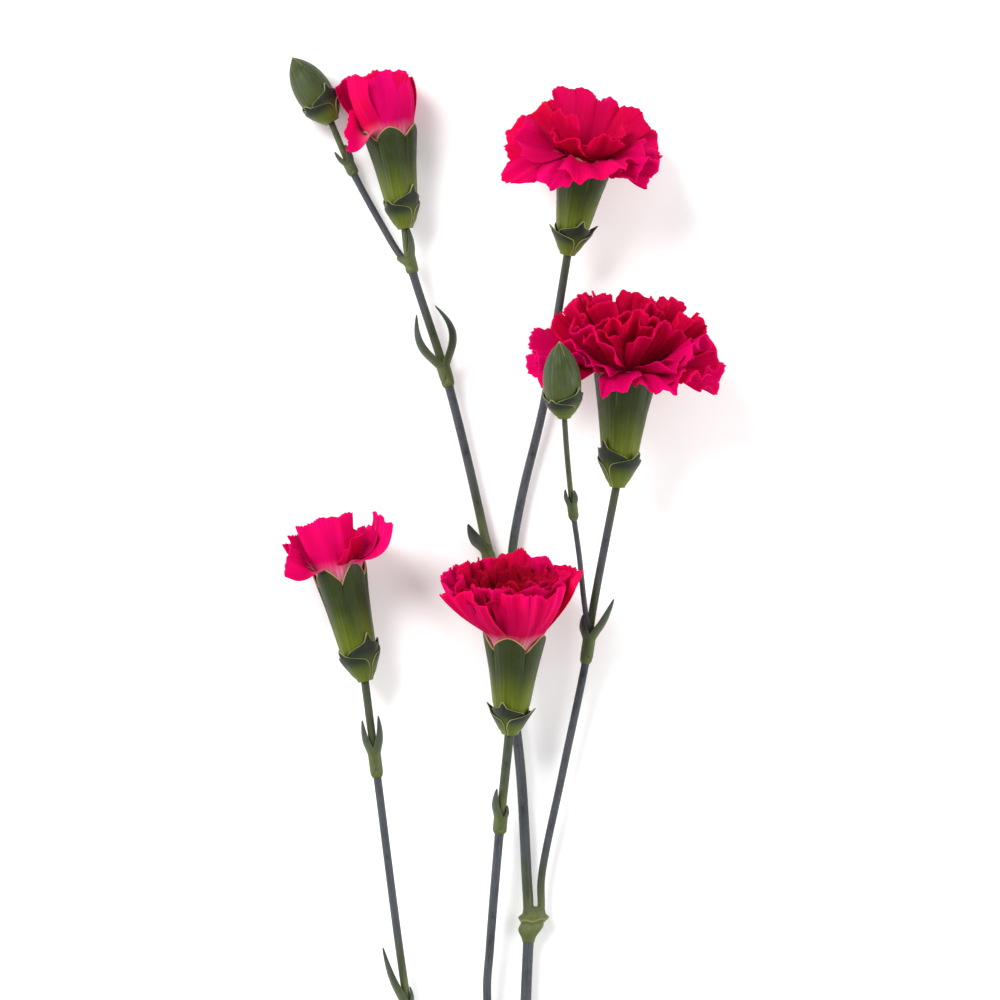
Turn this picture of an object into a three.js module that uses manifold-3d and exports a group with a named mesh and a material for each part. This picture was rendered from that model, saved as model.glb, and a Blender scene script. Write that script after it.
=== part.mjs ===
// A cut spray carnation, laid down on a table.
//
// Units are millimetres. +Y runs from the cut end towards the flowers, +X to the right and +Z up
// from the table. Every piece is worked out in the plant's own plan, whose zero is at the cut end on
// the table, and the finished plant is then moved so that the middle of its foot is the origin.

import * as THREE from 'three';
import { ParametricGeometry } from 'three/addons/geometries/ParametricGeometry.js';
import { mergeVertices } from 'three/addons/utils/BufferGeometryUtils.js';
import Module from 'manifold-3d';

const wasm = await Module();
wasm.setup();

// ---------------------------------------------------------------- driving dimensions

const FIT_GAP = 0.3; // between pieces that sit in or on each other
const STEM_GAP = 0.15; // between a stem and a branch or sheath that leaves it
const STEM_SIDES = 8;
const STEM_STEP = 12; // length of one straight stretch of stem

const CALYX_WALL = 0.7;
const CALYX_FOOT = 3.2; // height of the cone that a calyx stands on
const CALYX_SLICES = 20;
const CALYX_TEETH = 5;
const SOCKET_DEPTH = 1.6; // how far a stem's end stands in its calyx

const BRACT_WALL = 0.45;
const BRACT_SLICES = 12;

const PETAL_WALL = 0.5;
const PETAL_SLICES = 20;
const CLAW_DEPTH = 6; // how far the petals' narrow feet reach into the calyx
const WHORL_LIFT = 0.8; // how much higher each whorl bends than what is outside it
const PRESS_HEIGHT = 3.5; // petals lower than this are bent flat along the table

const SHEATH_WALL = 0.8; // of the fused leaf bases around a stem

// Stems. Each route runs through its points in a smooth curve; the radii are at its two ends.
const STEMS = {
  main: {
    name: 'main_stem',
    radii: [1.45, 0.9],
    route: [
      [4, 0, 1.5], [4.2, 30, 2.5], [5, 88, 2.7], [5.9, 135, 3.1], [6.5, 152, 3.5], [6, 163, 3.2],
      [4.4, 189, 2.5], [-0.3, 222, 2.4], [-3.2, 238, 2.9], [-11.7, 273.8, 4.6], [-20.5, 302, 7],
      [-21.6, 310.6, 7.8],
    ],
  },
  topRight: {
    name: 'branch_top_right',
    radii: [1.02, 0.9],
    route: [
      [2.2, 225.5, 2.7], [2.8, 236, 2.5], [4.9, 248, 2.5], [10.1, 270, 3.9], [13, 289, 7.2],
      [15.5, 304.6, 12.3],
    ],
  },
  right: {
    name: 'branch_right',
    radii: [0.85, 0.9],
    route: [
      [9.1, 153.5, 3.6], [9.4, 162, 3.7], [14.2, 186, 5], [19.5, 212, 7.9], [20.8, 222, 9.8],
      [26.4, 252.3, 17.2],
    ],
  },
  front: {
    name: 'branch_front',
    radii: [0.85, 1.05],
    route: [[2.5, 91, 2.9], [-2.9, 135, 5], [-2.3, 146, 5.7], [0, 174, 9.2], [2.3, 196.9, 13.4]],
  },
  left: {
    name: 'branch_left',
    radii: [0.9, 0.9],
    route: [
      [1.7, 33, 2.9], [-6.5, 65, 3.5], [-14.8, 100, 4.3], [-21, 134, 5.3], [-27.7, 185, 7.6],
      [-30.7, 208.6, 9.6],
    ],
  },
  topBud: {
    name: 'bud_stalk_top_left',
    radii: [0.8, 0.7],
    route: [[-22.9, 303.3, 5.6], [-26.5, 309.3, 3.5], [-33.6, 322.4, 3.7], [-38.9, 334.6, 5.5]],
  },
  rightBud: {
    name: 'bud_stalk_right',
    radii: [0.6, 0.6],
    route: [
      [19, 224, 12], [17.8, 234.5, 18], [16, 246.8, 26], [14.8, 258, 32.2], [14.1, 267.5, 35.9],
    ],
  },
};

// Flowers. `lean` is the way the flower points. The calyx is a tube from its neck over its waist to
// its mouth. Each whorl is [opening angle in degrees, petal length], from the outermost inwards, and
// `short` is the share that petals lose where they meet the bud beside them.
const FLOWERS = {
  top_left: {
    stem: 'main',
    lean: [-0.16, 1, 0.02],
    calyx: { length: 22.3, neck: 1.8, waist: 3.4, mouth: 5.9, tooth: 2.6 },
    bracts: { length: 9.5, spread: 0.25 },
    whorls: [[18, 16.5], [8, 16]],
    bend: 8, ruffle: 0.25, turn: 0.3, short: 0,
  },
  top_right: {
    stem: 'topRight',
    lean: [0.185, 1, 0.26],
    calyx: { length: 22.5, neck: 1.8, waist: 3.4, mouth: 6.6, tooth: 2.8 },
    bracts: { length: 9, spread: 1.1 },
    whorls: [[100, 15.5], [72, 17.5], [42, 18]],
    bend: 3.2, ruffle: 0.12, turn: 0.1, short: 0,
  },
  right: {
    stem: 'right',
    lean: [0.07, 1, 0.14],
    calyx: { length: 26, neck: 1.8, waist: 3.7, mouth: 7.1, tooth: 3 },
    bracts: { length: 11, spread: 0.4 },
    whorls: [[98, 18.5], [72, 20.5], [48, 21.5], [24, 20]],
    bend: 3.4, ruffle: 0.11, turn: 0.55, short: 0.2,
  },
  front: {
    stem: 'front',
    lean: [0.05, 1, 0.29],
    calyx: { length: 23.8, neck: 2, waist: 3.8, mouth: 7, tooth: 2.8 },
    bracts: { length: 8.5, spread: 0.8 },
    whorls: [[44, 18.5], [33, 18], [22, 16.5], [10, 15]],
    bend: 8, ruffle: 0.1, turn: 0.3, short: 0,
  },
  left: {
    stem: 'left',
    lean: [-0.235, 1, 0.1],
    calyx: { length: 26.6, neck: 1.8, waist: 3.8, mouth: 6, tooth: 4 },
    bracts: { length: 11, spread: 0.3 },
    whorls: [[48, 15], [24, 15]],
    bend: 6, ruffle: 0.25, turn: 0.5, short: 0,
  },
};

// Closed buds: the calyx is shut over its petals.
const BUDS = {
  bud_top_left: {
    stem: 'topBud', lean: [-0.62, 1, 0.04], length: 17, radius: 4.2, neck: 1.65,
    bracts: { length: 8.2, spread: 0.2 },
  },
  bud_right: {
    stem: 'rightBud', lean: [-0.07, 1, 0.3], length: 17.2, radius: 4.2, neck: 1.5,
    bracts: { length: 7.4, spread: 0.2 },
  },
};

// Leaf pairs and stripped nodes. `at` is the height of the node up the plant. A leaf is
// [side, length, how far it bows out, how far its tip stands off, half width]; side -1 is left.
const NODES = {
  node_lowest: { stem: 'main', branch: 'left', at: 30, sheath: [3, 2.4], leaves: [] },
  node_lower: { stem: 'main', branch: 'front', at: 88, sheath: [3, 2.4], leaves: [] },
  node_fork: { stem: 'main', branch: 'right', at: 150, sheath: [3.6, 3], leaves: [] },
  node_hidden: { stem: 'main', branch: 'topRight', at: 222, sheath: [3, 2.3], leaves: [] },
  leaf_folded: {
    stem: 'main', at: 234.5, sheath: [4.4, 1.9],
    leaves: [[-1, 7.5, 2.2, 5.4, 1.7]],
  },
  leaves_upper: {
    stem: 'main', at: 275.4, sheath: [2.4, 1.9],
    leaves: [[-1, 12.4, 2.6, 2.8, 1.1], [1, 13, 3.2, 3.6, 1.1]],
  },
  leaf_top: {
    stem: 'main', branch: 'topBud', at: 301, sheath: [2.4, 1.7],
    leaves: [[1, 6, 0.6, 1.9, 0.8]],
  },
  leaves_bud_top_left: {
    stem: 'topBud', at: 322.8, sheath: [1.6, 1.4],
    leaves: [[-1, 3.4, 0.5, 1.8, 0.7], [1, 3.8, 0.5, 1.7, 0.7]],
  },
  leaves_right: {
    stem: 'right', branch: 'rightBud', at: 214, sheath: [3.4, 1.7],
    leaves: [[-1, 5.6, 1.4, 2.4, 1.2], [1, 10.6, 1.2, 4.8, 1.2]],
  },
  leaves_bud_right: {
    stem: 'rightBud', at: 245.4, sheath: [2.2, 1.2],
    leaves: [[-1, 4.2, 0.4, 1.4, 0.8], [1, 3.8, 0.4, 1.3, 0.8]],
  },
  leaf_front: {
    stem: 'front', at: 174.6, sheath: [2, 1.6],
    leaves: [[-1, 5.8, 0.7, 1.9, 0.9]],
  },
  leaves_left: {
    stem: 'left', at: 188.3, sheath: [3, 1.7],
    leaves: [[-1, 7.2, 0.7, 2.2, 0.9], [1, 7.6, 0.8, 2.6, 0.9]],
  },
  leaf_lower_left: {
    stem: 'left', at: 133, sheath: [3, 1.7],
    leaves: [[-1, 12, 1, 4, 0.9]],
  },
};

// ---------------------------------------------------------------- materials

function finish(colour, roughness) {
  return new THREE.MeshStandardMaterial({ color: colour, roughness, metalness: 0 });
}

const STEM_FINISH = finish(0x5f6b66, 0.55);
const CALYX_FINISH = finish(0x4c5a2a, 0.5);
const BRACT_FINISH = finish(0x56683a, 0.5);
const LEAF_FINISH = finish(0x4a5a40, 0.55);
const PETAL_FINISH = finish(0xd60a50, 0.6);

// ---------------------------------------------------------------- shape tools

const UP = new THREE.Vector3(0, 0, 1);
const AXIS = new THREE.Vector3(0, 1, 0);

// A closed wall that runs round an axis. `face(angle, share, side, point)` sets `point` on its outer
// face (side 1) or its inner face (side 0), at a share of its height; share 0 is its foot.
function ringWall(face, slices, rows) {
  const steps = 2 * rows + 2;
  return new ParametricGeometry((u, v, point) => {
    const step = Math.round(v * steps) % steps;
    const angle = 2 * Math.PI * (Math.round(u * slices) % slices) / slices;
    if (step <= rows) {
      face(angle, step / rows, 1, point);
    } else {
      face(angle, (steps - 1 - step) / rows, 0, point);
    }
  }, slices, steps);
}

// A point at a radius and height about the +Y axis; angle 0 faces up from the table.
function aroundAxis(radius, height, angle, point) {
  return point.set(radius * Math.sin(angle), height, radius * Math.cos(angle));
}

// The three directions of a stem at one of its points: along it, to its right, and up off it.
function stemDirections(curve, share) {
  const along = curve.getTangentAt(share).normalize();
  const right = new THREE.Vector3().crossVectors(along, UP).normalize();
  const up = new THREE.Vector3().crossVectors(right, along);
  return { along, right, up };
}

function stemRadius(stem, share) {
  return THREE.MathUtils.lerp(stem.radii[0], stem.radii[1], share);
}

// A turned rod, bent along its stem's curve. `extra` thickens it all round, for cutting clearances.
function stemGeometry(stem, extra = 0) {
  const { curve } = stem;
  const length = curve.getLength();
  const steps = Math.ceil(length / STEM_STEP);
  const profile = [new THREE.Vector2(0, 0)];
  for (let i = 0; i <= steps; i += 1) {
    const share = i / steps;
    profile.push(new THREE.Vector2(stemRadius(stem, share) + extra, share * length));
  }
  profile.push(new THREE.Vector2(0, length));
  const rod = new THREE.LatheGeometry(profile, STEM_SIDES);
  const points = rod.attributes.position;
  for (let i = 0; i < points.count; i += 1) {
    const share = THREE.MathUtils.clamp(points.getY(i) / length, 0, 1);
    const { right, up } = stemDirections(curve, share);
    const place = curve.getPointAt(share);
    place.addScaledVector(right, points.getX(i)).addScaledVector(up, points.getZ(i));
    points.setXYZ(i, place.x, place.y, place.z);
  }
  return rod;
}

// Where a stem reaches a given height up the plant, as a share of its length.
function shareAtHeight(stem, height) {
  let low = 0;
  let high = 1;
  for (let i = 0; i < 30; i += 1) {
    const middle = (low + high) / 2;
    if (stem.curve.getPointAt(middle).y < height) {
      low = middle;
    } else {
      high = middle;
    }
  }
  return low;
}

// ---------------------------------------------------------------- joining and cutting

function toSolid(geometry) {
  const bare = geometry.clone();
  bare.deleteAttribute('normal');
  bare.deleteAttribute('uv');
  const merged = mergeVertices(bare, 1e-4);
  const corners = merged.index.array;
  const triVerts = [];
  for (let i = 0; i < corners.length; i += 3) {
    const [a, b, c] = [corners[i], corners[i + 1], corners[i + 2]];
    if (a !== b && b !== c && c !== a) {
      triVerts.push(a, b, c);
    }
  }
  return new wasm.Manifold(new wasm.Mesh({
    numProp: 3,
    vertProperties: new Float32Array(merged.attributes.position.array),
    triVerts: new Uint32Array(triVerts),
  }));
}

function toGeometry(solid) {
  const mesh = solid.getMesh();
  const geometry = new THREE.BufferGeometry();
  geometry.setAttribute('position', new THREE.BufferAttribute(mesh.vertProperties, 3));
  geometry.setIndex(new THREE.BufferAttribute(mesh.triVerts, 1));
  return geometry;
}

// ---------------------------------------------------------------- the plant

const plant = new THREE.Group();

function addPiece(name, geometry, material) {
  const piece = new THREE.Mesh(geometry, material);
  piece.name = name;
  plant.add(piece);
  return piece;
}

for (const stem of Object.values(STEMS)) {
  stem.curve = new THREE.CatmullRomCurve3(stem.route.map((place) => new THREE.Vector3(...place)));
  addPiece(stem.name, stemGeometry(stem), STEM_FINISH);
}

// ---------------------------------------------------------------- nodes and leaves

const SHEATH_SIDES = 10;
const LEAF_ROWS = 5;
const LEAF_SIDES = 6;
const LEAF_THICKNESS = 0.35;

// A leaf blade: a flat oval section carried along a bowed line, tapered to a point at its tip.
function leafGeometry(frame, [side, length, bow, standOff, halfWidth], rootRadius) {
  return new ParametricGeometry((u, v, point) => {
    const turn = 2 * Math.PI * (Math.round(u * LEAF_SIDES) % LEAF_SIDES) / LEAF_SIDES;
    const out = rootRadius + bow * Math.sin(Math.PI * v) + (standOff - rootRadius) * v;
    const body = Math.sqrt(Math.sin(Math.PI * Math.min(1, 0.12 + 0.88 * v)));
    const closed = v === 0 || v === 1 ? 0 : body;
    point.copy(frame.place);
    point.addScaledVector(frame.along, length * v);
    point.addScaledVector(frame.right, side * out + LEAF_THICKNESS * closed * Math.sin(turn));
    point.addScaledVector(frame.up, halfWidth * closed * Math.cos(turn));
  }, LEAF_SIDES, LEAF_ROWS);
}

// The fused leaf bases: a rounded sleeve about the stem, `half` long each way.
function sheathGeometry(frame, half, radius) {
  const profile = [[0, -1], [0.55, -0.95], [0.9, -0.35], [1, 0.2], [0.8, 0.85], [0, 1]];
  const points = profile.map(([r, h]) => new THREE.Vector2(radius * r, half * h));
  const sleeve = new THREE.LatheGeometry(points, SHEATH_SIDES);
  const basis = new THREE.Matrix4().makeBasis(frame.right, frame.along, frame.up);
  basis.setPosition(frame.place);
  return sleeve.applyMatrix4(basis);
}

for (const [name, node] of Object.entries(NODES)) {
  const stem = STEMS[node.stem];
  const share = shareAtHeight(stem, node.at);
  const radius = stemRadius(stem, share);
  const frame = { place: stem.curve.getPointAt(share), ...stemDirections(stem.curve, share) };
  const [half, sheathRadius] = node.sheath;
  let solid = toSolid(sheathGeometry(frame, half, Math.max(sheathRadius, radius + SHEATH_WALL)));
  for (const leaf of node.leaves) {
    solid = solid.add(toSolid(leafGeometry(frame, leaf, radius + SHEATH_WALL / 2)));
  }
  for (const key of [node.stem, node.branch]) {
    if (key) {
      solid = solid.subtract(toSolid(stemGeometry(STEMS[key], STEM_GAP)));
    }
  }
  addPiece(name, toGeometry(solid), LEAF_FINISH);
}

// ---------------------------------------------------------------- calyces and bracts

const CALYX_ROWS = 4;
const BRACT_ROWS = 3;
const BUD_ROWS = 7;

// The height of row `row` of a wall that is `top` high: its second row ends the calyx's foot.
function rowHeight(row, rows, top) {
  return row === 0 ? 0 : CALYX_FOOT + (top - CALYX_FOOT) * (row - 1) / (rows - 1);
}

// A calyx's outer radius at a height: a cone at its foot, then a slow flare to its mouth.
function calyxRadius(calyx, height) {
  if (height <= CALYX_FOOT) {
    return THREE.MathUtils.lerp(calyx.neck, calyx.waist, height / CALYX_FOOT);
  }
  const share = (height - CALYX_FOOT) / (calyx.length - CALYX_FOOT);
  return calyx.waist + (calyx.mouth - calyx.waist) * share ** 1.2;
}

// A closed bud's radius: the same foot, then an egg with a pointed tip.
function budRadius(bud, height) {
  const share = Math.max(0, height - CALYX_FOOT) / (bud.length - CALYX_FOOT);
  const egg = bud.radius * Math.sin(Math.PI * (0.3 + 0.7 * share ** 1.15)) ** 0.7;
  return height > CALYX_FOOT ? egg : THREE.MathUtils.lerp(bud.neck, egg, height / CALYX_FOOT);
}

function calyxGeometry(calyx) {
  return ringWall((angle, share, side, point) => {
    const toothShare = Math.abs(((angle * CALYX_TEETH / (2 * Math.PI)) % 1) - 0.5) * 2;
    const top = calyx.length - calyx.tooth * toothShare;
    const height = rowHeight(Math.round(share * CALYX_ROWS), CALYX_ROWS, top);
    const radius = calyxRadius(calyx, height) - (side ? 0 : CALYX_WALL);
    aroundAxis(radius, height, angle, point);
  }, CALYX_SLICES, CALYX_ROWS);
}

// A bud is solid, but for the socket that its stalk stands in.
function budGeometry(bud) {
  const socketRadius = bud.neck - CALYX_WALL;
  const profile = [
    new THREE.Vector2(0, SOCKET_DEPTH + FIT_GAP),
    new THREE.Vector2(socketRadius, SOCKET_DEPTH + FIT_GAP),
    new THREE.Vector2(socketRadius, 0),
    new THREE.Vector2(bud.neck, 0),
  ];
  for (let row = 1; row < BUD_ROWS; row += 1) {
    const height = rowHeight(row, BUD_ROWS, bud.length);
    profile.push(new THREE.Vector2(budRadius(bud, height), height));
  }
  profile.push(new THREE.Vector2(0, bud.length));
  return new THREE.LatheGeometry(profile, BRACT_SLICES);
}

// Two opposite bracts, fused at their foot, lying on the calyx under them.
function bractGeometry(radiusAt, bracts, turn, clearance) {
  return ringWall((angle, share, side, point) => {
    const blade = Math.abs(Math.cos(angle - turn)) ** 1.4;
    const top = bracts.length * (0.56 + 0.44 * blade);
    const height = rowHeight(Math.round(share * BRACT_ROWS), BRACT_ROWS, top);
    const spread = bracts.spread * blade * share ** 3;
    aroundAxis(radiusAt(height) + clearance + side * BRACT_WALL + spread, height, angle, point);
  }, BRACT_SLICES, BRACT_ROWS);
}

// Puts a piece that was made about the +Y axis onto the end of a stem.
function placeOnStem(piece, part) {
  const stem = STEMS[part.stem];
  const way = new THREE.Vector3(...part.lean).normalize();
  piece.quaternion.setFromUnitVectors(AXIS, way);
  piece.position.copy(stem.curve.getPointAt(1)).addScaledVector(way, -SOCKET_DEPTH);
}

function addBracts(name, part, radiusAt) {
  const pairs = [['inner', 0, FIT_GAP], ['outer', Math.PI / 2, 2 * FIT_GAP + BRACT_WALL]];
  for (const [label, turn, clearance] of pairs) {
    const length = label === 'inner' ? part.bracts.length : part.bracts.length * 0.8;
    const bracts = { ...part.bracts, length };
    const geometry = bractGeometry(radiusAt, bracts, turn + Math.PI / 6, clearance);
    placeOnStem(addPiece(`bracts_${label}_${name}`, geometry, BRACT_FINISH), part);
  }
}

for (const [name, flower] of Object.entries(FLOWERS)) {
  const { calyx } = flower;
  placeOnStem(addPiece(`calyx_${name}`, calyxGeometry(calyx), CALYX_FINISH), flower);
  addBracts(name, flower, (height) => calyxRadius(calyx, height));
}

for (const [name, bud] of Object.entries(BUDS)) {
  placeOnStem(addPiece(name, budGeometry(bud), CALYX_FINISH), bud);
  addBracts(name, bud, (height) => budRadius(bud, height));
}

// ---------------------------------------------------------------- petals

const PETAL_ROWS = 4;
const PETALS_IN_WHORL = 5;
const NOTCH = 0.14; // how much shorter the rim is between two petals
const SHORT_SIDE = -0.7; // angle at which the shortened petals stand, in radians

// Keeps a height above the table: what would hang lower is pressed flat along it.
function pressed(height) {
  if (height >= PRESS_HEIGHT) {
    return height;
  }
  return PRESS_HEIGHT * Math.exp((height - PRESS_HEIGHT) / PRESS_HEIGHT);
}

// One whorl of petals, joined side by side: narrow feet in the calyx, then a bend outwards at its
// mouth, then a straight, ruffled blade.
function whorlGeometry(flower, index) {
  const { calyx, bend, ruffle, turn, short } = flower;
  const [degrees, length] = flower.whorls[index];
  const seatDepth = CALYX_WALL + 2 * FIT_GAP + index * (PETAL_WALL + FIT_GAP);
  const seatRadius = (height) => calyxRadius(calyx, Math.min(height, calyx.length)) - seatDepth;
  const mouthHeight = calyx.length + WHORL_LIFT * (index + 1);
  return ringWall((angle, share, side, point) => {
    const petal = Math.cos(PETALS_IN_WHORL * (angle - turn - index * 0.6));
    const opening = THREE.MathUtils.degToRad(degrees) * (1 + ruffle * petal);
    const blade = Math.max(0, (share * PETAL_ROWS - 1) / (PETAL_ROWS - 1));
    const crowded = short * Math.max(0, Math.cos(angle - SHORT_SIDE));
    const reach = length * blade * (1 - NOTCH * (1 - petal) / 2) * (1 - crowded);
    const turned = Math.min(reach / bend, opening);
    const straight = reach - turned * bend;
    const wall = side * PETAL_WALL;
    const foot = share === 0 ? mouthHeight - CLAW_DEPTH : mouthHeight;
    const spread = bend * (1 - Math.cos(turned)) + straight * Math.sin(turned);
    const rise = bend * Math.sin(turned) + straight * Math.cos(turned);
    const radius = seatRadius(foot) - PETAL_WALL + spread + wall * Math.cos(turned);
    const height = foot + rise - wall * Math.sin(turned);
    aroundAxis(radius, height, angle, point);
  }, PETAL_SLICES, PETAL_ROWS);
}

for (const [name, flower] of Object.entries(FLOWERS)) {
  flower.whorls.forEach((whorl, index) => {
    const geometry = whorlGeometry(flower, index);
    const piece = addPiece(`petals_${name}_${index + 1}`, geometry, PETAL_FINISH);
    placeOnStem(piece, flower);
    piece.updateMatrix();
    geometry.applyMatrix4(piece.matrix);
    piece.position.set(0, 0, 0);
    piece.quaternion.identity();
    const points = geometry.attributes.position;
    for (let i = 0; i < points.count; i += 1) {
      points.setZ(i, pressed(points.getZ(i)));
    }
  });
}

// ---------------------------------------------------------------- origin at the middle of the foot

const box = new THREE.Box3().setFromObject(plant, true);
const middle = box.getCenter(new THREE.Vector3());
plant.position.set(-middle.x, -middle.y, -box.min.z);

const object = new THREE.Group();
object.add(plant);

export default object;
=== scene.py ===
import math

import bpy
import numpy as np
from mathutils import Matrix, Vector


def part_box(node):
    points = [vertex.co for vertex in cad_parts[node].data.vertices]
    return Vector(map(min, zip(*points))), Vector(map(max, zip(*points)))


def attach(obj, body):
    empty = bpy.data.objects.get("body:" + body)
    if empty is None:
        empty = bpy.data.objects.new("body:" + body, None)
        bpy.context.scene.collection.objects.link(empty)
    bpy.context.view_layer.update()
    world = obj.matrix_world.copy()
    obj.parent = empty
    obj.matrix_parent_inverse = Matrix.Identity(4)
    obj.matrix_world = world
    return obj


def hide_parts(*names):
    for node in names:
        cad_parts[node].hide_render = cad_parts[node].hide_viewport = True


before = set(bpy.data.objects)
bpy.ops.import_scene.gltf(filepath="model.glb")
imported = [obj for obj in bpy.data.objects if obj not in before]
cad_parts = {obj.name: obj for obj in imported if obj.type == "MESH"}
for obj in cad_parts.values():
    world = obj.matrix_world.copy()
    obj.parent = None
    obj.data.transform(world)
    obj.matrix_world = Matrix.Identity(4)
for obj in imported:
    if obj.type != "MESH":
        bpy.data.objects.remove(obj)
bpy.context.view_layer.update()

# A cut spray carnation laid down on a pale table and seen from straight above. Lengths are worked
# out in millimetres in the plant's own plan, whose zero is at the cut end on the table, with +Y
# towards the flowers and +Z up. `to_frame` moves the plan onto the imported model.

MM = 0.001

# ---------------------------------------------------------------- sizes of the plant, in millimetres

SOCKET_DEPTH = 1.6  # how deep a stem sits in its calyx or bud
CALYX_FOOT = 3.2  # where the foot ends
PRESS_HEIGHT = 3.5  # petals bend flat below it
ROUTE_STEP = 1.0  # between points of a stem

# Thickness of the thin pieces.
CALYX_WALL = 0.35
BRACT_WALL = 0.2
LEAF_WALL = 0.26
PETAL_WALL = 0.2

# Rows and columns of the surfaces.
RING_GRID = (44, 72)
SHEATH_GRID = (30, 48)
LEAF_GRID = (60, 25)
CALYX_GRID = (70, 200)
BUD_GRID = (80, 160)
BRACT_GRID = (44, 37)
PETAL_GRID = (28, 89)

# Each stem's node, its radius at foot and tip, and the points its centre line runs through.
STEMS = {
    "main": ("main_stem", (1.45, 0.9), [
        (4, 0, 1.5), (4.2, 30, 2.5), (5, 88, 2.7), (5.9, 135, 3.1), (6.5, 152, 3.5), (6, 163, 3.2),
        (4.4, 189, 2.5), (-0.3, 222, 2.4), (-3.2, 238, 2.9), (-11.7, 273.8, 4.6), (-20.5, 302, 7),
        (-21.6, 310.6, 7.8),
    ]),
    "top_right": ("branch_top_right", (1.02, 0.9), [
        (2.2, 225.5, 2.7), (2.8, 236, 2.5), (4.9, 248, 2.5), (10.1, 270, 3.9), (13, 289, 7.2),
        (15.5, 304.6, 12.3),
    ]),
    "right": ("branch_right", (0.85, 0.9), [
        (9.1, 153.5, 3.6), (9.4, 162, 3.7), (14.2, 186, 5), (19.5, 212, 7.9), (20.8, 222, 9.8),
        (26.4, 252.3, 17.2),
    ]),
    "front": ("branch_front", (0.85, 1.05), [
        (2.5, 91, 2.9), (-2.9, 135, 5), (-2.3, 146, 5.7), (0, 174, 9.2), (2.3, 196.9, 13.4),
    ]),
    "left": ("branch_left", (0.9, 0.9), [
        (1.7, 33, 2.9), (-6.5, 65, 3.5), (-14.8, 100, 4.3), (-21, 134, 5.3), (-27.7, 185, 7.6),
        (-30.7, 208.6, 9.6),
    ]),
    "top_bud": ("bud_stalk_top_left", (0.8, 0.7), [
        (-22.9, 303.3, 5.6), (-26.5, 309.3, 3.5), (-33.6, 322.4, 3.7), (-38.9, 334.6, 5.5),
    ]),
    "right_bud": ("bud_stalk_right", (0.6, 0.6), [
        (19, 224, 12), (17.8, 234.5, 18), (16, 246.8, 26), (14.8, 258, 32.2), (14.1, 267.5, 35.9),
    ]),
}

# Each flower's stem, the way it leans, its calyx (length, neck, waist, mouth and tooth) and its
# bracts (length and spread).
FLOWERS = {
    "top_left": dict(stem="main", lean=(-0.16, 1, 0.02), calyx=(22.3, 1.8, 3.4, 5.9, 2.6),
                     bracts=(9.5, 0.3)),
    "top_right": dict(stem="top_right", lean=(0.185, 1, 0.26), calyx=(22.5, 1.8, 3.4, 6.6, 2.8),
                      bracts=(9, 0.8)),
    "right": dict(stem="right", lean=(0.07, 1, 0.14), calyx=(26, 1.8, 3.7, 7.1, 3),
                  bracts=(11, 0.6)),
    "front": dict(stem="front", lean=(0.05, 1, 0.29), calyx=(23.8, 2, 3.8, 7, 3.4),
                  bracts=(8.8, 0.5)),
    "left": dict(stem="left", lean=(-0.235, 1, 0.1), calyx=(26.6, 1.8, 3.8, 6, 4),
                 bracts=(11, 0.4)),
}

# Each bud's stalk, the way it leans, its size (length, radius and neck) and its bracts.
BUDS = {
    "bud_top_left": dict(stem="top_bud", lean=(-0.62, 1, 0.04), size=(17, 4.2, 1.65),
                         bracts=(8.2, 0.2)),
    "bud_right": dict(stem="right_bud", lean=(-0.07, 1, 0.3), size=(17.2, 4.2, 1.5),
                      bracts=(7.4, 0.2)),
}


# ---------------------------------------------------------------- curves and frames

def ease(x, low, high):
    """A smooth step: 0 below `low`, 1 above `high`, and 3t^2 - 2t^3 between them."""
    t = np.clip((np.asarray(x, float) - low) / (high - low), 0, 1)
    return t * t * (3 - 2 * t)


def smooth_route(points):
    """A centripetal Catmull-Rom curve through the points, resampled at an even step along it."""
    p = np.asarray(points, float)
    p = np.vstack([2 * p[0] - p[1], p, 2 * p[-1] - p[-2]])
    gaps = np.linalg.norm(np.diff(p, axis=0), axis=1) ** 0.5
    t = np.linspace(0, 1, 60)[:, None]
    runs = []
    for i in range(1, len(p) - 2):
        before, here, after = gaps[i - 1], gaps[i], gaps[i + 1]
        leave = ((p[i] - p[i - 1]) / before - (p[i + 1] - p[i - 1]) / (before + here)
                 + (p[i + 1] - p[i]) / here) * here
        arrive = ((p[i + 1] - p[i]) / here - (p[i + 2] - p[i]) / (here + after)
                  + (p[i + 2] - p[i + 1]) / after) * here
        runs.append((2 * t**3 - 3 * t**2 + 1) * p[i] + (t**3 - 2 * t**2 + t) * leave
                    + (3 * t**2 - 2 * t**3) * p[i + 1] + (t**3 - t**2) * arrive)
    dense = np.vstack(runs)
    keep = np.r_[True, np.linalg.norm(np.diff(dense, axis=0), axis=1) > 1e-6]
    dense = dense[keep]
    travelled = np.r_[0, np.cumsum(np.linalg.norm(np.diff(dense, axis=0), axis=1))]
    count = max(8, int(travelled[-1] / ROUTE_STEP))
    even = np.linspace(0, travelled[-1], count + 1)
    return np.stack([np.interp(even, travelled, dense[:, k]) for k in range(3)], axis=1)


def unit(v):
    return v / np.maximum(np.linalg.norm(v, axis=-1, keepdims=True), 1e-12)


# Where each branch leaves its parent stem, inside the node that covers the joint.
ROOTS = {
    "top_right": (0.2, 221.5, 2.4),
    "right": (7.0, 149.5, 3.4),
    "front": (4.8, 86.5, 2.7),
    "left": (4.0, 28.5, 2.5),
    "top_bud": (-20.6, 300.5, 6.6),
    "right_bud": (20.2, 216.5, 8.8),
}


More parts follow.
